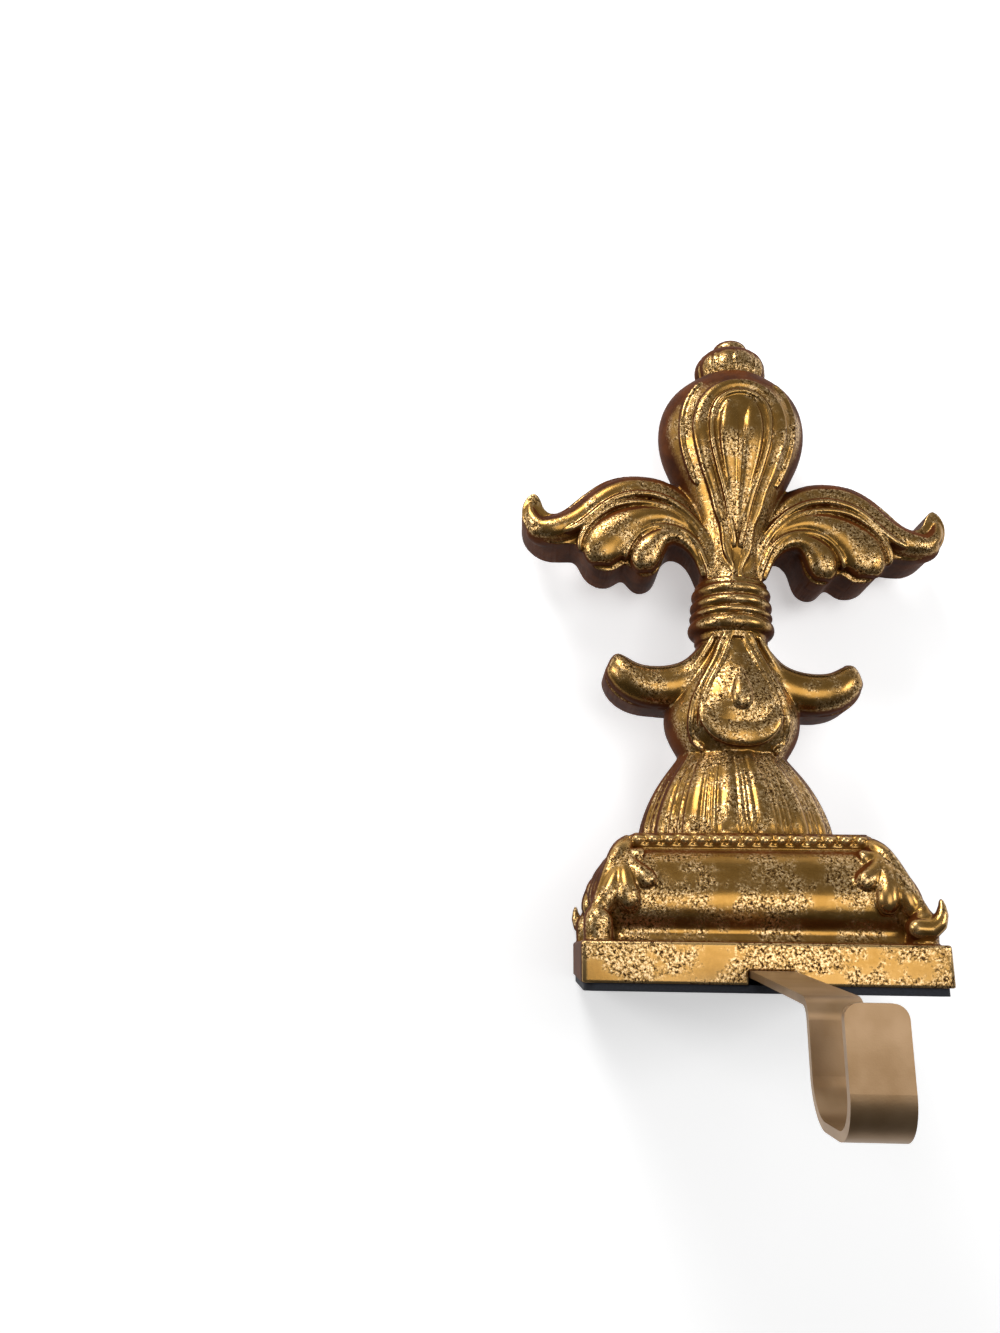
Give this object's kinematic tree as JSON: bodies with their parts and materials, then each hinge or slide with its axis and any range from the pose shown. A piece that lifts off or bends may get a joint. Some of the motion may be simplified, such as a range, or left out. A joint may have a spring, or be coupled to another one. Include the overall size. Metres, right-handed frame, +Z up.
{
  "type": "mantel stocking holder",
  "caption": "Cast fleur-de-lis ornament on a stepped, beaded pedestal, with a flat strap hook that reaches forward from under it to hang a stocking below a mantel edge.",
  "frame": {"origin": "middle of the seat, the underside of the pad, where the holder stands on the mantel shelf", "axes": "+Z up, the front and the hook face -Y, +X to the right seen from the front"},
  "size_m": [0.1548, 0.186, 0.2643],
  "materials": {
    "gilt_casting": "cast resin with worn gold leaf over red-brown bole, satin",
    "strap": "satin champagne-gold paint on flat steel",
    "screws": "zinc plated",
    "pad": "matt black foam rubber sheet"
  },
  "bodies": {
    "root": {"casting": "gilt_casting", "strap_hook": "strap", "screw_1": "screws", "screw_2": "screws", "seat_pad": "pad"}
  },
  "joints": []
}
